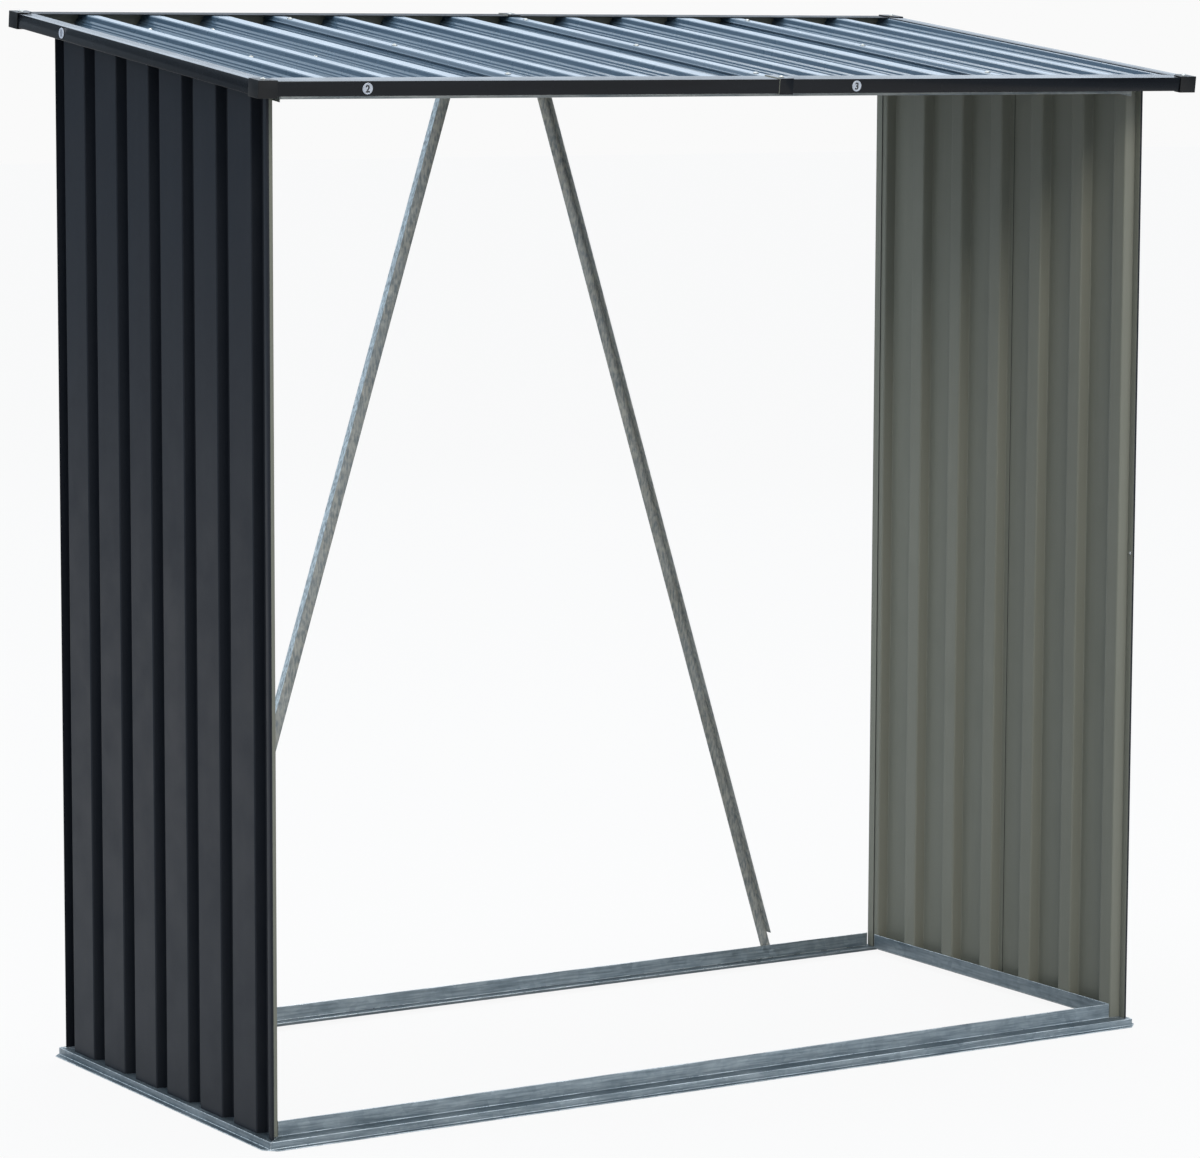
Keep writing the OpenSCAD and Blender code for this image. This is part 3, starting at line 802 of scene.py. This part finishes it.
@dataclass
class WallSheets:
    """Two ribbed sheets a side, the front one lapped over the rear one."""

    roof: RoofPlane
    pitch: float = 106 * MM
    groove: float = 36 * MM
    flank: float = 4 * MM
    depth: float = 17 * MM
    end_strip: float = 14 * MM
    lap_groove: int = 3
    grooves: int = 7
    lap: float = 10 * MM
    lap_depth: float = 1.1 * MM
    edge: float = 1.5 * MM
    top_level: float = -22.9 * MM
    thickness: float = 0.8 * MM
    lap_gap: float = 0.3 * MM
    bend: float = 2.2 * MM
    bow: float = 0.3 * MM
    bow_turn: float = 230.0
    stations: int = 40

    def groove_at(self, s: float) -> np.ndarray:
        """Outline of one groove, (distance from the front, depth), from its near edge.

        Args:
            s: distance of the groove's near edge from the wall's front.

        Returns:
            (4, 2) corners.
        """
        return np.array([(s, 0.0), (s + self.flank, self.depth),
                         (s + self.groove - self.flank, self.depth), (s + self.groove, 0.0)])

    def front_outline(self) -> np.ndarray:
        """Section of the front sheet, from the front post to its lap.

        Returns:
            (n, 2) corners.
        """
        lap_s = self.end_strip + self.lap_groove * self.pitch
        grooves = [self.groove_at(self.end_strip + g * self.pitch)
                   for g in range(self.lap_groove)]
        return np.concatenate([[(self.edge, 0.0)], *grooves, [(lap_s - self.lap_gap, 0.0)]])

    def rear_outline(self, wall_depth: float) -> np.ndarray:
        """Section of the rear sheet, from under the lap to the rear post.

        Args:
            wall_depth: depth of the whole wall.

        Returns:
            (n, 2) corners.
        """
        lap_s = self.end_strip + self.lap_groove * self.pitch
        first = self.groove_at(lap_s)
        first[0] = (lap_s + self.flank * self.lap_depth / self.depth, self.lap_depth)
        grooves = [self.groove_at(self.end_strip + g * self.pitch)
                   for g in range(self.lap_groove + 1, self.grooves - 1)]
        last_s = self.end_strip + (self.grooves - 1) * self.pitch
        last = self.groove_at(last_s)[:2]
        return np.concatenate([[(lap_s - self.lap, self.lap_depth)], first, *grooves, last,
                               [(wall_depth - self.edge, self.depth)]])

    def build(self, side: int, name: str, corners: np.ndarray) -> bpy.types.Object:
        """Makes one sheet, ruled from its foot to the slope of the roof.

        The height at (s, t) is foot + t (top(s) - foot), where top follows the roof, and the
        crowns and floors bow inwards by bow sin(pi t) sin(bow_turn s) as thin sheet does.

        Args:
            side: -1 for the left wall and 1 for the right one.
            name: the frame node that the sheet replaces.
            corners: section of the sheet.

        Returns:
            The sheet.
        """
        line = eased(corners, self.bend, 5)
        low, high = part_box(f"wall_{'left' if side < 0 else 'right'}_front_sheet")
        face = low[0] if side < 0 else high[0]
        y_front = low[1] - self.edge
        foot = low[2]
        t = np.linspace(0.0, 1.0, self.stations)[:, None]
        y = y_front + line[:, 0]
        top = self.roof.height(y, self.top_level)
        z = foot + t * (top - foot)[None, :]
        bow = self.bow * np.sin(math.pi * t) * np.sin(self.bow_turn * line[:, 0])[None, :]
        inward = line[:, 1][None, :] + np.maximum(bow, 0.0)
        x = face - side * inward
        points = np.stack([x, np.broadcast_to(y, z.shape), z], axis=-1).reshape(-1, 3)
        faces = grid_faces(self.stations, len(line))
        if side < 0:
            faces = faces[:, ::-1]
        sheet = new_piece(f"{name}_rolled", points, faces, [ANTHRACITE_WALL, BACKING_COAT])
        thicken(sheet, self.thickness)
        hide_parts(name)
        return sheet

    def build_all(self) -> None:
        """Makes the two sheets of both walls."""
        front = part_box("post_front_left")[0][1]
        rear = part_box("post_rear_left")[1][1]
        for side, word in ((-1, "left"), (1, "right")):
            self.build(side, f"wall_{word}_front_sheet", self.front_outline())
            self.build(side, f"wall_{word}_rear_sheet", self.rear_outline(rear - front))


# ---------- folded strips and caps ----------


@dataclass
class FoldedPieces:
    """The folded strips and moulded caps: copies of the frame's pieces with eased edges."""

    strip_edge: float = 0.5 * MM
    post_edge: float = 0.35 * MM
    thin_edge: float = 0.4 * MM
    base_edge: float = 0.7 * MM
    cap_edge: float = 1.3 * MM
    flat_within: float = math.radians(0.5)
    bend_over: float = math.radians(30)

    def copy(self, node: str, finishes: list[Finish], slot: Slot, edge: float,
             backing: Backing = Backing.NONE) -> bpy.types.Object:
        """Copies a frame piece, merges its triangles into flat faces and eases its edges.

        Args:
            node: the frame node.
            finishes: the finish of its face and, if it has one, of its back or of its faces
                painted darker or lighter as shade or light.
            slot: the record's material slot.
            edge: width of the eased edge.
            backing: which faces show the second finish.

        Returns:
            The new piece.
        """
        name = f"{node}_folded" if slot is not Slot.CAP else f"{node}_moulded"
        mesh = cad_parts[node].data.copy()
        mesh.name = name
        mesh.materials.clear()
        for finish in finishes:
            mesh.materials.append(finish.material())
        work = bmesh.new()
        work.from_mesh(mesh)
        bmesh.ops.remove_doubles(work, verts=work.verts, dist=SAME_POINT)
        bmesh.ops.dissolve_limit(work, angle_limit=self.flat_within, verts=work.verts,
                                 edges=work.edges)
        middle = np.mean(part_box(node), axis=0)
        for face in work.faces:
            face.smooth = True
            face.material_index = int(self.is_back(face, middle, backing))
        work.to_mesh(mesh)
        work.free()
        piece = add_object(name, mesh)
        soft = piece.modifiers.new("eased_edges", "BEVEL")
        soft.width = edge
        soft.segments = 3
        soft.limit_method = "ANGLE"
        soft.angle_limit = self.bend_over
        soft.harden_normals = True
        soft.use_clamp_overlap = True
        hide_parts(node)
        return settle(piece)

    def is_back(self, face: bmesh.types.BMFace, middle: np.ndarray, backing: Backing) -> bool:
        """Tells whether a face takes the second finish: the backing coat, or a painted shadow or
        painted light.

        Args:
            face: the face.
            middle: the middle of its piece.
            backing: the rule for this piece.

        Returns:
            True if it does.
        """
        centre = np.array(face.calc_center_median())
        normal = np.array(face.normal)
        if backing is Backing.HOLLOW:
            return float(np.dot(middle - centre, normal)) > 0.5 * MM
        if backing is Backing.BAY:
            return float(-math.copysign(1.0, middle[0]) * normal[0]) > 0.5
        # Up-facing ledge faces take the painted shadow.
        if backing is Backing.LEDGE:
            return float(normal[2]) > 0.5
        # Outward flange faces take the painted light.
        if backing is Backing.FLANGE:
            return float(math.copysign(1.0, middle[0]) * normal[0]) > 0.5
        return False

    def build_all(self) -> None:
        """Makes every folded strip, brace and cap."""
        ends = ("front_left", "front_right", "rear_left", "rear_right")
        # The side rails take the darker zinc, which is painted shade.
        for side, zinc in (("front", STRIP_ZINC), ("rear", STRIP_ZINC), ("left", SHADED_SIDE_ZINC),
                           ("right", SHADED_SIDE_ZINC)):
            rail = self.copy(f"base_rail_{side}", [zinc, SHADED_LEDGE_ZINC, HIGHLIGHT_EDGE_ZINC], Slot.FRAME,
                             self.base_edge, Backing.LEDGE)
            # The eased edges take the painted highlight finish.
            rail.modifiers["eased_edges"].material = 2
        for end in ends:
            self.copy(f"post_{end}", [ANTHRACITE_WALL, BACKING_COAT], Slot.WALL,
                      self.post_edge, Backing.BAY)
        for node in ("top_rail_left", "top_rail_right", "front_lintel", "rear_lintel",
                     "roof_purlin"):
            self.copy(node, [LINTEL_ZINC], Slot.FRAME, self.thin_edge)
        for node in ("brace_left", "brace_right"):
            self.copy(node, [WEB_ZINC, LIT_FLANGE_ZINC], Slot.FRAME, self.strip_edge,
                      Backing.FLANGE)
        for end in ends + ("side_left", "side_right"):
            coat = REAR_TRIM_COAT if end.startswith("rear") else TRIM_COAT
            self.copy(f"trim_{end}", [coat, BACKING_COAT], Slot.TRIM, self.thin_edge,
                      Backing.HOLLOW)
        for end in ends:
            self.copy(f"cap_{end}", [CAP_PLASTIC], Slot.CAP, self.cap_edge)


# ---------- screws, bolts and discs ----------


@dataclass(frozen=True)
class Seat:
    """Where a round part of the frame sits: its foot's middle, its direction and its size."""

    foot: np.ndarray
    axis: np.ndarray
    radius: float
    height: float

    def carry(self, local: np.ndarray, upright: tuple[float, float, float]) -> np.ndarray:
        """Carries points from about the origin, with Z for the axis, to the seat.

        Args:
            local: (n, 3) points.
            upright: direction that, crossed with the axis, gives the local X.

        Returns:
            (n, 3) points in the store's frame.
        """
        across = np.cross(upright, self.axis)
        across /= np.linalg.norm(across)
        return self.foot + local @ np.stack([across, np.cross(self.axis, across), self.axis])


def turned(radii: np.ndarray, heights: np.ndarray) -> np.ndarray:
    """Turns an outline about the Z axis: (r cos a, r sin a, z) at each angle a.

    Args:
        radii: (rings, sides) radius of each ring at each angle.
        heights: (rings, 1) height of each ring.

    Returns:
        (rings x sides, 3) points.
    """
    a = np.linspace(0.0, 2 * math.pi, radii.shape[1], endpoint=False)[None, :]
    z = np.broadcast_to(heights, radii.shape)
    return np.stack([radii * np.cos(a), radii * np.sin(a), z], axis=-1).reshape(-1, 3)


def joined(parts: list[tuple]) -> tuple[np.ndarray, list, np.ndarray]:
    """Joins surfaces into one.

    Args:
        parts: (points, faces, finish numbers) of each surface.

    Returns:
        Points, faces and finish numbers of them all.
    """
    faces, count = [], 0
    for points, polygons, _ in parts:
        if isinstance(polygons, np.ndarray):
            faces += (polygons + count).tolist()
        else:
            faces += [[corner + count for corner in polygon] for polygon in polygons]
        count += len(points)
    return (np.concatenate([points for points, _, _ in parts]), faces,
            np.concatenate([numbers for _, _, numbers in parts]))


@dataclass(frozen=True)
class TurnedHead:
    """A screw head: a seal, a flange and a drive, turned about one axis.

    The point at angle a and step k lies at radius r_k (1 + h_k (hex(a) - 1)) and height z_k,
    where hex(a) = cos(30 deg) / cos((a mod 60 deg) - 30 deg) draws a hexagon.
    """

    seat: Seat
    sides: int = 48

    def rings(self) -> np.ndarray:
        """Rows of (share of radius, share of height, share of hexagon, finish number).

        Returns:
            (n, 4) rows from the seat to the top.
        """
        return np.array([
            (0.00, 0.00, 0.0, 1), (0.98, 0.00, 0.0, 1), (1.00, 0.08, 0.0, 1),
            (1.00, 0.18, 0.0, 1), (0.96, 0.24, 0.0, 0), (0.94, 0.30, 0.0, 0),
            (0.90, 0.38, 0.0, 0), (0.70, 0.46, 0.6, 0), (0.62, 0.52, 1.0, 0),
            (0.62, 0.88, 1.0, 0), (0.56, 1.00, 0.6, 0), (0.30, 0.98, 0.0, 0),
            (0.00, 0.94, 0.0, 0)])

    def surface(self, turn: float) -> tuple:
        """Works out the head's points, faces and finish numbers.

        Args:
            turn: angle of the hexagon.

        Returns:
            Points, faces and finish numbers.
        """
        rings = self.rings()
        a = np.linspace(0.0, 2 * math.pi, self.sides, endpoint=False)[None, :]
        hexagon = math.cos(math.pi / 6) / np.cos(np.mod(a + turn, math.pi / 3) - math.pi / 6)
        radii = self.seat.radius * rings[:, :1] * (1.0 + rings[:, 2:3] * (hexagon - 1.0))
        upright = (1.0, 0.0, 0.0) if abs(self.seat.axis[0]) < 0.9 else (0.0, 0.0, 1.0)
        points = self.seat.carry(turned(radii, self.seat.height * rings[:, 1:2]), upright)
        faces = grid_faces(len(rings), self.sides, closed=True)
        return points, faces, np.repeat(rings[1:, 3].astype(int), self.sides)


@dataclass
class Fixings:
    """The screws, bolts and number discs, each where the frame has it."""

    roof: RoofPlane
    # Heights between which a screw on a front post faces into the bay
    bay_low: float = 0.5
    bay_high: float = 1.0
    head_turn: float = 0.4
    disc_sides: int = 64
    # A disc's outline from its back to its dished face, as shares of radius and thickness
    disc_outline: np.ndarray = field(default_factory=lambda: np.array([
        (0.0, 0.0), (0.97, 0.0), (1.0, 0.25), (1.0, 0.6), (0.95, 0.95), (0.9, 1.0),
        (0.86, 0.95), (0.8, 0.78), (0.0, 0.78)]))
    digit_height: float = 1.3
    digit_relief: float = 0.2

    def direction(self, node: str, middle: np.ndarray) -> np.ndarray:
        """Direction in which a head or disc of a node faces.

        Args:
            node: the frame node.
            middle: the middle of the head or disc.

        Returns:
            Unit direction.
        """
        up = np.array([0.0, -math.sin(self.roof.pitch), math.cos(self.roof.pitch)])
        if node in ("roof_screws", "cap_screws", "trim_screws"):
            return up
        if node == "brace_bolts":
            return np.array([0.0, 1.0, 0.0])
        outward = np.array([math.copysign(1.0, middle[0]), 0.0, 0.0])
        if node == "number_discs":
            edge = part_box("trim_front_left")[0][1]
            down = np.array([0.0, -math.cos(self.roof.pitch), -math.sin(self.roof.pitch)])
            return down if middle[1] < edge + 10 * MM else outward
        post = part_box("post_front_right")[1]
        in_bay = abs(middle[0]) < post[0] - 1 * MM and middle[1] < post[1]
        return -outward if in_bay and self.bay_low < middle[2] < self.bay_high else outward

    def seats(self, node: str) -> list[Seat]:
        """Measures each head or disc of a node along the direction in which it faces.

        Args:
            node: the frame node.

        Returns:
            Their seats, in the order of the frame's solids.
        """
        seats = []
        for solid in separate_solids(node):
            middle = (solid.min(axis=0) + solid.max(axis=0)) / 2
            axis = self.direction(node, middle)
            along = (solid - middle) @ axis
            radius = np.linalg.norm((solid - middle) - along[:, None] * axis, axis=1).max()
            seats.append(Seat(middle + axis * along.min(), axis, float(radius),
                              float(np.ptp(along))))
        return seats

    def disc(self, seat: Seat, label: str) -> tuple[np.ndarray, list, np.ndarray]:
        """Makes one number disc: a dished plate with a rim, and a raised digit.

        The plate is the outline turned about its axis: flat inside 0.8 of the radius, full
        thickness at 0.9, and rounded off to the back at its rim.

        Args:
            seat: the seat of the frame's disc.
            label: the digits.

        Returns:
            Points, faces and finish numbers.
        """
        outline = self.disc_outline
        radii = np.broadcast_to(seat.radius * outline[:, :1], (len(outline), self.disc_sides))
        plate = turned(radii, seat.height * outline[:, 1:2])
        faces = grid_faces(len(outline), self.disc_sides, closed=True)
        digits, polygons = digit_mesh(label, seat.radius * self.digit_height,
                                      seat.height * self.digit_relief)
        digits[:, 2] += seat.height * outline[-1, 1]
        upright = (0.0, 0.0, 1.0)
        return joined([(seat.carry(plate, upright), faces, np.zeros(len(faces))),
                       (seat.carry(digits, upright), polygons, np.ones(len(polygons)))])

    def build(self, node: str, name: str, parts: list[tuple], finishes: list[Finish],
              slot: Slot) -> None:
        """Makes all the heads or discs of one node as one piece.

        Args:
            node: the frame node.
            name: the piece's name.
            parts: points, faces and finish numbers of each head or disc.
            finishes: the two finishes.
            slot: the record's material slot; not used.
        """
        points, faces, numbers = joined(parts)
        piece = new_piece(name, points, faces, finishes, numbers)
        close_shells(piece)
        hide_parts(node)

    def build_all(self) -> None:
        """Makes every screw, bolt and disc."""
        for node in ("roof_screws", "cap_screws", "trim_screws", "wall_screws_left",
                     "wall_screws_right", "brace_bolts"):
            heads = [TurnedHead(seat).surface(self.head_turn * place)
                     for place, seat in enumerate(self.seats(node))]
            self.build(node, f"{node}_turned", heads, [SCREW_ZINC, SEAL_RUBBER], Slot.SCREW)
        discs = [self.disc(seat, str(place + 1))
                 for place, seat in enumerate(self.seats("number_discs"))]
        self.build("number_discs", "number_discs_moulded", discs, [DISC_PLASTIC, DIGIT_INK],
                   Slot.DISC)


def digit_mesh(label: str, height: float, relief: float) -> tuple[np.ndarray, list]:
    """Makes digits as a raised mesh about the origin, face up.

    Args:
        label: the digits.
        height: height of a digit.
        relief: how far it stands up.

    Returns:
        Points and faces.
    """
    curve = bpy.data.curves.new("digits", "FONT")
    curve.body = label
    curve.size = height * 1.35
    curve.offset = height * 0.035
    curve.align_x = "CENTER"
    curve.align_y = "CENTER"
    curve.extrude = relief / 2
    curve.resolution_u = 3
    holder = add_object("digits", curve)
    bpy.context.view_layer.update()
    mesh = bpy.data.meshes.new_from_object(holder)
    flat = np.empty(len(mesh.vertices) * 3)
    mesh.vertices.foreach_get("co", flat)
    points = flat.reshape(-1, 3)
    middle = (points.min(axis=0) + points.max(axis=0)) / 2
    points = points - middle + (0.0, 0.0, relief / 2)
    polygons = [list(p.vertices) for p in mesh.polygons]
    bpy.data.objects.remove(holder)
    bpy.data.curves.remove(curve)
    bpy.data.meshes.remove(mesh)
    return points, polygons


# ---------- studio ----------


@dataclass(frozen=True)
class Lamp:
    """One square soft lamp, turned towards the middle of the store."""

    name: str
    place: tuple[float, float, float]
    size: float
    power: float
    colour: str
    aim: tuple[float, float, float] = (0.0, 0.0, 0.8)

    def hang(self) -> None:
        """Hangs the lamp in its place."""
        data = bpy.data.lights.new(self.name, "AREA")
        data.shape = "SQUARE"
        data.size = self.size
        data.energy = self.power
        data.color = linear(self.colour)[:3]
        lamp = add_object(self.name, data)
        lamp.rotation_mode = "QUATERNION"
        lamp.rotation_quaternion = (Vector(self.aim)
                                    - Vector(self.place)).to_track_quat("-Z", "Y")
        lamp.location = self.place


@dataclass(frozen=True)
class Camera:
    """A long lens at eye height, to the left in front of the store; angles in radians."""

    place: tuple[float, float, float] = (-3.67014, -5.84714, 1.58224)
    turn: float = 0.55863
    dip: float = 0.12308
    roll: float = 0.00368
    lens_mm: float = 135.104
    sensor_mm: float = 36.0
    reach: float = 200.0

    def set_up(self) -> None:
        """Makes the camera: turned from +Y to the right, dipped, then rolled."""
        data = bpy.data.cameras.new("camera")
        data.sensor_width = self.sensor_mm
        data.lens = self.lens_mm
        data.clip_end = self.reach
        camera = add_object("camera", data)
        forward = np.array([math.sin(self.turn) * math.cos(self.dip),
                            math.cos(self.turn) * math.cos(self.dip), -math.sin(self.dip)])
        right = np.array([math.cos(self.turn), -math.sin(self.turn), 0.0])
        up = np.cross(right, forward)
        right_rolled = math.cos(self.roll) * right + math.sin(self.roll) * up
        up_rolled = -math.sin(self.roll) * right + math.cos(self.roll) * up
        columns = np.stack([right_rolled, up_rolled, -forward], axis=1)
        camera.rotation_mode = "QUATERNION"
        camera.rotation_quaternion = Matrix(columns.tolist()).to_quaternion()
        camera.location = self.place
        bpy.context.scene.camera = camera


@dataclass(frozen=True)
class Studio:
    """A pale floor, a surround, soft lamps and the camera."""

    floor_half: float = 40.0
    floor_drop: float = 0.3 * MM
    floor_glow: float = 0.92
    # Radii between which the floor's painted glow in mirrors rises from the painted shadow at the
    # store's foot, and those where it fades out
    pool_in: tuple[float, float] = (1.05, 3.75)
    pool_out: tuple[float, float] = (7.5, 10.5)
    # Share of the mirrored glow left at the store's foot, a painted shadow
    foot_shadow_share: float = 0.4
    pool_reach: float = 15.0
    surround: float = 0.9
    # Steepness of a ray, as its Z, where the surround starts to brighten and where it ends
    dusk: tuple[float, float] = (0.05, 0.3)
    lamps: tuple[Lamp, ...] = (
        Lamp("key_softbox", (-1.4, -5.6, 5.6), 3.0, 210.0, "#FFF8EE"),
        Lamp("top_softbox", (0.6, 1.0, 5.2), 4.0, 170.0, "#FFFFFF"),
        Lamp("fill_softbox", (1.5, -7.5, 2.0), 3.0, 50.0, "#FFFFFF"),
        Lamp("rear_softbox", (4.2, 6.4, 4.0), 5.0, 62.0, "#E4F0FF"),
        Lamp("side_softbox", (-5.5, 1.2, 3.0), 1.6, 80.0, "#EAF4FF"))

    def white_share(self, tree: bpy.types.NodeTree) -> bpy.types.NodeSocket:
        """Works out how much of the floor shows as plain white.

        It is floor_glow where it is seen, and in mirrors it is a painted glow: a ring around the
        store, dimmed near the store's foot as a painted shadow, that fades out with distance.

        Args:
            tree: the floor's node tree.

        Returns:
            The share's socket.
        """
        path = add_node(tree, "ShaderNodeLightPath")
        place = add_node(tree, "ShaderNodeTexCoord").outputs["Object"]
        nearby = add_node(tree, "ShaderNodeMapping", {"Scale": (1 / self.pool_reach,) * 3},
                          {"Vector": place})
        pool = add_node(tree, "ShaderNodeTexGradient", {"gradient_type": "SPHERICAL"},
                        {"Vector": nearby.outputs[0]})
        near, far = ([1.0 - radius / self.pool_reach for radius in radii]
                     for radii in (self.pool_in, self.pool_out))
        fall = add_node(tree, "ShaderNodeMapRange", {1: far[1], 2: far[0], 3: 0.0, 4: 1.0},
                        {0: pool.outputs["Fac"]})
        # Dims the mirrored glow near the store: a painted shadow.
        foot = add_node(tree, "ShaderNodeMapRange",
                        {1: near[1], 2: near[0], 3: 1.0, 4: self.foot_shadow_share},
                        {0: pool.outputs["Fac"]})
        share = add_node(tree, "ShaderNodeMath", {"operation": "MULTIPLY"},
                         {0: fall.outputs[0], 1: foot.outputs[0]})
        mirrored = add_node(tree, "ShaderNodeMath", {"operation": "MULTIPLY"},
                            {0: path.outputs["Is Glossy Ray"], 1: share.outputs[0]})
        either = add_node(tree, "ShaderNodeMath", {"operation": "MAXIMUM"},
                          {0: path.outputs["Is Camera Ray"], 1: mirrored.outputs[0]})
        return add_node(tree, "ShaderNodeMath", {"operation": "MULTIPLY", 1: self.floor_glow},
                        {0: either.outputs[0]}).outputs[0]

    def floor(self) -> None:
        """Makes the floor: matt, and lifted where it is seen so that it blends into white."""
        half, low = self.floor_half, -self.floor_drop
        mesh = bpy.data.meshes.new("studio_floor")
        mesh.from_pydata([(-half, -half, low), (half, -half, low), (half, half, low),
                          (-half, half, low)], [], [(0, 1, 2, 3)])
        floor = add_object("studio_floor", mesh)
        paint = bpy.data.materials.new("studio_floor_paint")
        tree = fresh_tree(paint)
        matt = add_node(tree, "ShaderNodeBsdfDiffuse", {"Color": linear("#B4B6B8")})
        glow = add_node(tree, "ShaderNodeEmission", {"Color": linear("#FFFFFF"), "Strength": 1.0})
        both = add_node(tree, "ShaderNodeMixShader",
                        links={0: self.white_share(tree), 1: matt.outputs[0],
                               2: glow.outputs[0]})
        add_node(tree, "ShaderNodeOutputMaterial", links={"Surface": both.outputs[0]})
        mesh.materials.append(paint)

    def world(self) -> None:
        """Makes the surround: light from above, dusk at the horizon, white where seen."""
        world = bpy.data.worlds.new("studio_surround")
        bpy.context.scene.world = world
        tree = fresh_tree(world)
        place = add_node(tree, "ShaderNodeTexCoord").outputs["Generated"]
        rise = add_node(tree, "ShaderNodeSeparateXYZ", links={0: place}).outputs["Z"]
        share = add_node(tree, "ShaderNodeMapRange", {1: self.dusk[0], 2: self.dusk[1]},
                         {0: rise})
        sky = add_node(tree, "ShaderNodeMix",
                       {"data_type": "RGBA", 6: linear("#5F6A74"), 7: linear("#E2F1FF")},
                       {0: share.outputs[0]})
        light = add_node(tree, "ShaderNodeBackground", {"Strength": self.surround},
                         {"Color": sky.outputs[2]})
        white = add_node(tree, "ShaderNodeBackground",
                         {"Color": linear("#FAFAFA"), "Strength": 1.0})
        path = add_node(tree, "ShaderNodeLightPath")
        both = add_node(tree, "ShaderNodeMixShader",
                        links={0: path.outputs["Is Camera Ray"], 1: light.outputs[0],
                               2: white.outputs[0]})
        add_node(tree, "ShaderNodeOutputWorld", links={"Surface": both.outputs[0]})

    def build_all(self) -> None:
        """Sets up the floor, the surround, the lamps and the camera."""
        self.floor()
        self.world()
        for lamp in self.lamps:
            lamp.hang()
        Camera().set_up()
        bpy.context.scene.view_settings.view_transform = "Standard"


def main() -> None:
    """Builds the store's sub-assemblies in order, then the studio."""
    logging.basicConfig(level=logging.INFO, format="%(name)s: %(message)s")
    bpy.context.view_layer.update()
    roof = RoofPlane.from_caps()
    LOG.info("roof pitch %.3f degrees, length %.4f m", math.degrees(roof.pitch), roof.length)
    RoofSheets(roof).build_all()
    WallSheets(roof).build_all()
    FoldedPieces().build_all()
    Fixings(roof).build_all()
    Studio().build_all()
    bpy.context.view_layer.update()


if __name__ == "__main__":
    main()
